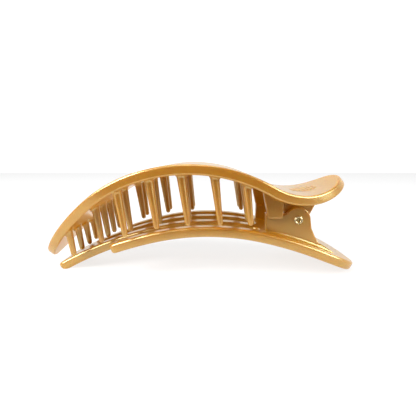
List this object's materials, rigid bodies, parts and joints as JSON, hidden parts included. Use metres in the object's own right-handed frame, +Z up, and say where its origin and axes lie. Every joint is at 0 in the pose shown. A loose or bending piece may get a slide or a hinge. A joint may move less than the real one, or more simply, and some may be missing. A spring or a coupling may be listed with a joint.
{
  "type": "alligator hair clip",
  "caption": "Large flat alligator hair clip: a toothed arched upper jaw and a slotted lower jaw on a hinge pin, held shut by a torsion spring.",
  "frame": {"origin": "bottom centre of the closed clip's box, on the plane it rests on", "axes": "+X runs from the biting end to the thumb tabs, Y is the hinge direction and the plane Y=0 is the mirror plane, +Z is up"},
  "size_m": [0.1229, 0.0456, 0.0411],
  "materials": {
    "gold_plastic": "glossy pearlescent moulded plastic, caramel gold",
    "plated_pin": "bright plated, rolled ends",
    "spring_wire": "bare spring wire"
  },
  "bodies": {
    "lower": {"lower_jaw": "gold_plastic", "hinge_pin": "plated_pin", "torsion_spring": "spring_wire"},
    "upper": {"upper_jaw": "gold_plastic"}
  },
  "joints": [
    {"name": "jaw_hinge", "type": "hinge", "parent": "lower", "child": "upper", "pos_m": [0.0372, 0, 0.02065], "axis": [0, 1, 0], "range_deg": [0, 45], "stiffness_Nm_per_rad": 0.1, "springref_deg": -57.3, "deforming": ["torsion_spring"]}
  ]
}
